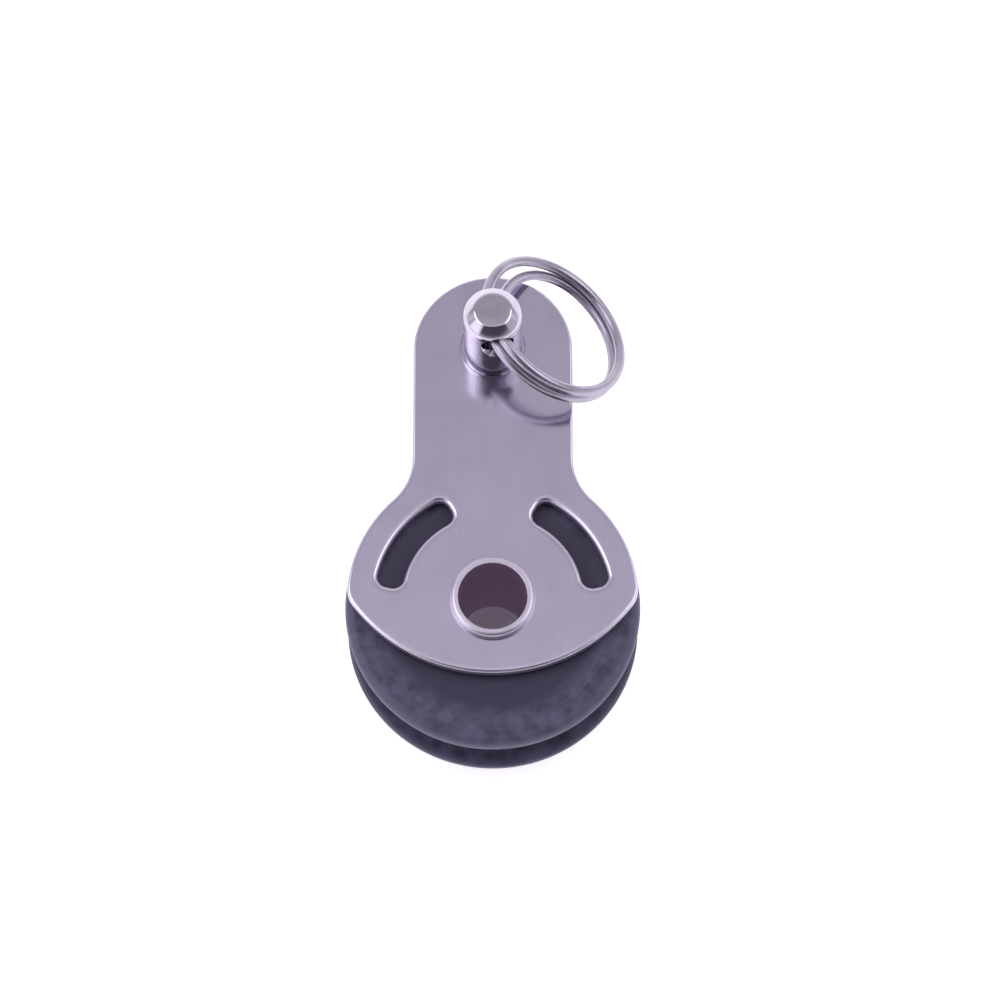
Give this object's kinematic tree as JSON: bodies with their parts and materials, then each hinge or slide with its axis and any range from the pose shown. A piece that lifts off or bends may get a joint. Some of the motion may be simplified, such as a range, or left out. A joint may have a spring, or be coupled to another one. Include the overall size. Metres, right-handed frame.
{
  "type": "single sheave block",
  "caption": "Small riveted boat block: grooved plastic sheave between keyhole-shaped steel cheeks, with a clevis pin and split ring at its head.",
  "frame": {"origin": "on the sheave axis, at the middle of the open bore through the hollow rivet, midway between the cheeks", "axes": "+Z along the sheave axis out of the front cheek, +Y up the block to its clevis pin, +X to the right"},
  "size_m": [0.03, 0.0522, 0.0235],
  "materials": {
    "cheek_steel": "satin, fine grain along the neck",
    "sheave_plastic": "matt, faintly mottled",
    "bush_steel": "turned",
    "rivet_steel": "polished on the rolled lips",
    "pin_steel": "polished",
    "ring_wire": "bright drawn wire"
  },
  "bodies": {
    "frame": {"front_cheek": "cheek_steel", "rear_cheek": "cheek_steel", "spacer_bush": "bush_steel", "hollow_rivet": "rivet_steel"},
    "sheave": {"sheave": "sheave_plastic"},
    "pin": {"clevis_pin": "pin_steel"},
    "ring": {"split_ring": "ring_wire"}
  },
  "joints": [
    {"name": "sheave_spin", "type": "hinge", "parent": "frame", "child": "sheave", "pos_m": [0, 0, 0], "axis": [0, 0, 1], "continuous": true},
    {"name": "pin_turn", "type": "hinge", "parent": "frame", "child": "pin", "pos_m": [0, 0.0275, 0], "axis": [0, 0, 1], "range_deg": [-8, 100]},
    {"name": "ring_swing", "type": "hinge", "parent": "pin", "child": "ring", "pos_m": [0, 0.0275, 0.01285], "axis": [0.1908, -0.9816, 0], "range_deg": [0, 190]}
  ]
}
